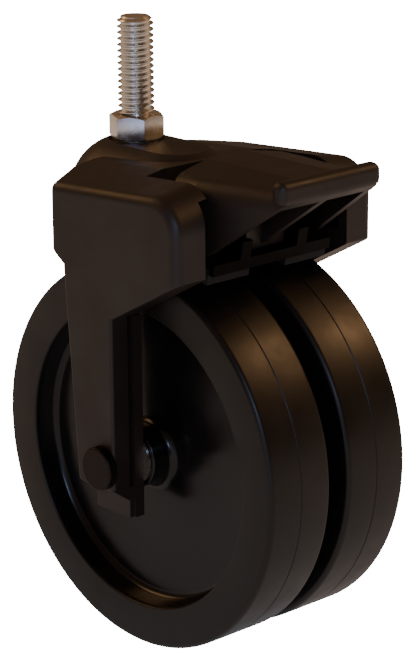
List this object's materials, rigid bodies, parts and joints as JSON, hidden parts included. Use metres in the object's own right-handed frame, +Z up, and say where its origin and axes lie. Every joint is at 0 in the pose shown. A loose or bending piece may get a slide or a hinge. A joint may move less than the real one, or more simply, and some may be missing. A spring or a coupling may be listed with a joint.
{
  "type": "swivel stem caster",
  "caption": "Swivel stem caster with paired wheels in a hooded moulded fork, a threaded stem on top and a foot pedal that presses brake shoes onto the treads.",
  "frame": {"origin": "swivel axis at the top face of the stem's hexagon, where the stem seats against what it is screwed into", "axes": "+Z up the stem, +X towards the brake pedal and the trailing wheels, +Y along the axle away from the near wheel"},
  "size_m": [0.1016, 0.0724, 0.1588],
  "materials": {
    "zinc_steel": "bright zinc plate on turned and pressed steel",
    "black_steel": "black oxide on turned steel",
    "bracket_steel": "pressed steel, dark plated with worn edges",
    "bearing_steel": "ground bearing steel",
    "cage_brass": "turned brass",
    "spring_steel": "tempered spring steel",
    "yoke_nylon": "moulded glass-filled nylon, fine satin texture",
    "tyre_rubber": "satin thermoplastic rubber",
    "core_polypropylene": "glossy moulded polypropylene",
    "bush_acetal": "natural acetal, turned",
    "shoe_rubber": "matte moulded rubber",
    "seal_rubber": "matte moulded rubber"
  },
  "bodies": {
    "stem": {"threaded_stem": "zinc_steel", "upper_bearing_inner_race": "bearing_steel", "lower_bearing_inner_race": "bearing_steel", "bearing_inner_spacer": "zinc_steel", "retaining_clip": "spring_steel"},
    "yoke": {"yoke_housing": "yoke_nylon", "dust_seal": "seal_rubber", "upper_bearing_outer_race": "bearing_steel", "lower_bearing_outer_race": "bearing_steel", "upper_bearing_balls": "bearing_steel", "lower_bearing_balls": "bearing_steel", "upper_bearing_cage": "cage_brass", "lower_bearing_cage": "cage_brass", "bearing_outer_spacer": "zinc_steel", "bearing_retainer": "zinc_steel", "axle": "black_steel", "axle_cap": "black_steel", "centre_spacer": "zinc_steel", "near_hub_washer": "zinc_steel", "far_hub_washer": "zinc_steel", "brake_pivot_pin": "zinc_steel", "detent_spring": "spring_steel"},
    "near_wheel": {"near_tyre": "tyre_rubber", "near_wheel_core": "core_polypropylene", "near_wheel_bush": "bush_acetal"},
    "far_wheel": {"far_tyre": "tyre_rubber", "far_wheel_core": "core_polypropylene", "far_wheel_bush": "bush_acetal"},
    "brake": {"brake_pedal": "yoke_nylon", "brake_bracket": "bracket_steel", "near_brake_shoe": "shoe_rubber", "far_brake_shoe": "shoe_rubber", "bracket_screws": "zinc_steel"}
  },
  "joints": [
    {"name": "swivel", "type": "hinge", "parent": "stem", "child": "yoke", "pos_m": [0, 0, 0], "axis": [0, 0, 1], "continuous": true},
    {"name": "near_wheel_spin", "type": "hinge", "parent": "yoke", "child": "near_wheel", "pos_m": [0.024, 0, -0.0826], "axis": [0, 1, 0], "continuous": true},
    {"name": "far_wheel_spin", "type": "hinge", "parent": "yoke", "child": "far_wheel", "pos_m": [0.024, 0, -0.0826], "axis": [0, 1, 0], "continuous": true},
    {"name": "brake_pivot", "type": "hinge", "parent": "yoke", "child": "brake", "pos_m": [0.033, 0, -0.0186], "axis": [0, 1, 0], "range_deg": [0, 14]}
  ]
}
